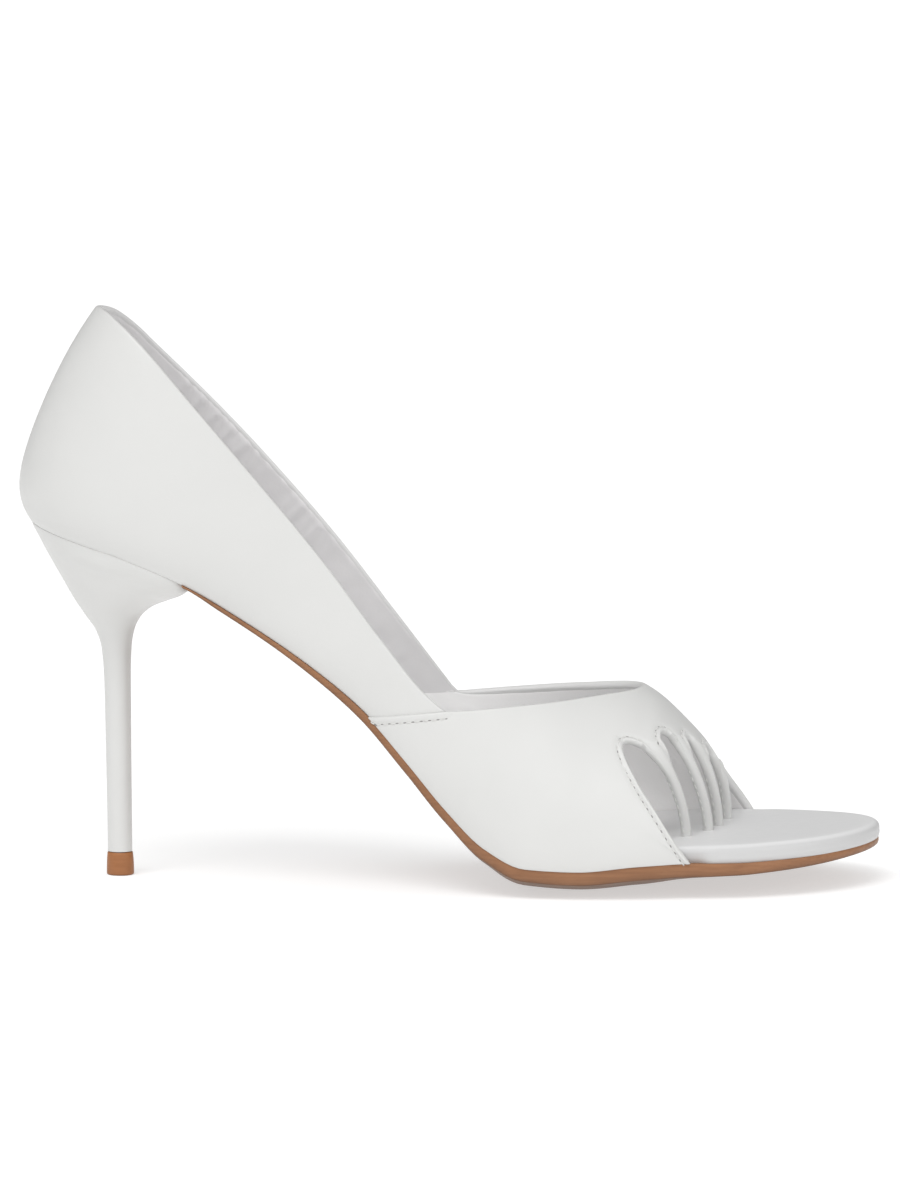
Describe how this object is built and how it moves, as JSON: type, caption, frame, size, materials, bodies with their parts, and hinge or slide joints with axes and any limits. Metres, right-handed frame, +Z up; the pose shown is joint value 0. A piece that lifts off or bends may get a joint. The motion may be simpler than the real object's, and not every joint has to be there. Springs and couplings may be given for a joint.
{
  "type": "slip-on sandal",
  "caption": "Open-toe slip-on sandal on a stiletto heel: smooth leather upper with a closed back, low-cut sides and thin rolled straps between the toes, on a tan sole.",
  "frame": {"origin": "on the floor, under the middle of the shoe's length and width", "axes": "+X towards the toe, -Y towards the lateral (outer) side, +Z up"},
  "size_m": [0.2226, 0.0824, 0.1483],
  "materials": {
    "upper_leather": "smooth white leather, satin",
    "insole_leather": "smooth pale leather, satin",
    "sole_leather": "tan, burnished edge",
    "heel_cover": "white leather cover, satin",
    "top_piece": "tan, matte"
  },
  "bodies": {
    "root": {"upper": "upper_leather", "insole": "insole_leather", "outsole": "sole_leather", "heel": "heel_cover", "top_piece": "top_piece"}
  },
  "joints": []
}
